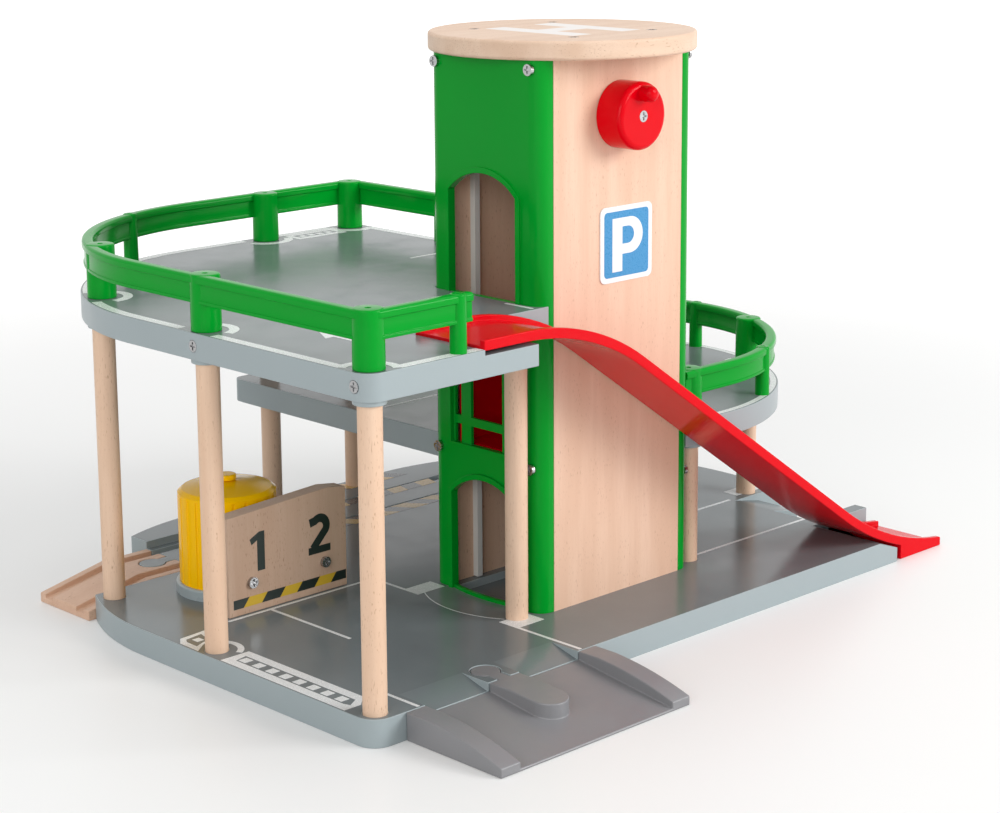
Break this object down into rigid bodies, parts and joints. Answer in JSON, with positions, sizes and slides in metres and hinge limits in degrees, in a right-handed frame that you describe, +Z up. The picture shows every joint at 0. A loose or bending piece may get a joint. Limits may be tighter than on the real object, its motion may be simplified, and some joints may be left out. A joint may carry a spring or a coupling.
{
  "type": "toy parking garage with lift",
  "caption": "Wooden and plastic toy parking garage with two railed decks, a hand-cranked lift tower, a car ramp and a railway passage.",
  "frame": {"origin": "on the table under the middle of the whole garage, road ramp and car ramp included", "axes": "+X to the right along the base's front edge towards the car ramp's foot, +Y from the front edge to the railway side, +Z up"},
  "size_m": [0.3766, 0.323, 0.2654],
  "materials": {
    "beech": "smooth sanded clear-lacquered beech",
    "grey_plastic": "satin moulded",
    "dark_grey_plastic": "satin moulded",
    "green_plastic": "glossy moulded",
    "red_plastic": "glossy moulded",
    "yellow_plastic": "glossy moulded",
    "white_plastic": "matt moulded",
    "blue_sign": "printed label",
    "steel": "plated",
    "cord": "braided"
  },
  "bodies": {
    "garage": {"back_panel": "beech", "base_plate": "grey_plastic", "board_screws": "steel", "deck_screws": "steel", "dowel_screws": "steel", "front_panel": "beech", "guide_strips": "white_plastic", "idler_pin": "steel", "left_shell": "green_plastic", "lift_cord": "cord", "mid_deck": "grey_plastic", "mid_railing": "green_plastic", "number_board": "beech", "parking_sign": "blue_sign", "right_shell": "green_plastic", "roof_disc": "beech", "roof_screws": "steel", "shell_screws": "steel", "short_dowel_1": "beech", "short_dowel_2": "beech", "short_dowel_3": "beech", "tall_dowel_1": "beech", "tall_dowel_2": "beech", "tall_dowel_3": "beech", "tall_dowel_4": "beech", "tall_dowel_5": "beech", "tall_dowel_6": "beech", "tank_body": "yellow_plastic", "tank_cap": "yellow_plastic", "tank_collar": "grey_plastic", "tower_screws": "steel", "upper_deck": "grey_plastic", "upper_railing": "green_plastic"},
    "knob": {"knob": "red_plastic", "knob_screw": "steel", "drive_shaft": "steel", "drive_pulley": "white_plastic"},
    "idler": {"idler_pulley": "steel"},
    "lift_car": {"lift_car": "red_plastic", "car_roof": "red_plastic", "guide_shoes": "white_plastic", "cord_clamp": "white_plastic"},
    "road_ramp": {"road_ramp": "dark_grey_plastic"},
    "rail_ramp": {"rail_ramp": "beech"},
    "car_ramp": {"car_ramp": "red_plastic"}
  },
  "joints": [
    {"name": "lift_slide", "type": "slide", "parent": "garage", "child": "lift_car", "axis": [0, 0, 1], "range_m": [-0.0695, 0.0695]},
    {"name": "knob_turn", "type": "hinge", "parent": "garage", "child": "knob", "pos_m": [-0.00357, -0.065, 0.2305], "axis": [0, 1, 0], "range_deg": [-380, 380]},
    {"name": "idler_turn", "type": "hinge", "parent": "garage", "child": "idler", "pos_m": [-0.00357, -0.054, 0.0268], "axis": [0, 1, 0], "range_deg": [-380, 380]},
    {"name": "road_ramp_lift", "type": "slide", "parent": "garage", "child": "road_ramp", "axis": [0, 0, 1], "range_m": [0, 0.03]},
    {"name": "rail_ramp_lift", "type": "slide", "parent": "garage", "child": "rail_ramp", "axis": [0, 0, 1], "range_m": [0, 0.03]},
    {"name": "car_ramp_lift", "type": "slide", "parent": "garage", "child": "car_ramp", "axis": [0, 0, 1], "range_m": [0, 0.03]}
  ],
  "couplings": [
    {"joint": "knob_turn", "follows": "lift_slide", "rad_per_m": 90.405},
    {"joint": "idler_turn", "follows": "lift_slide", "rad_per_m": 90.405}
  ]
}
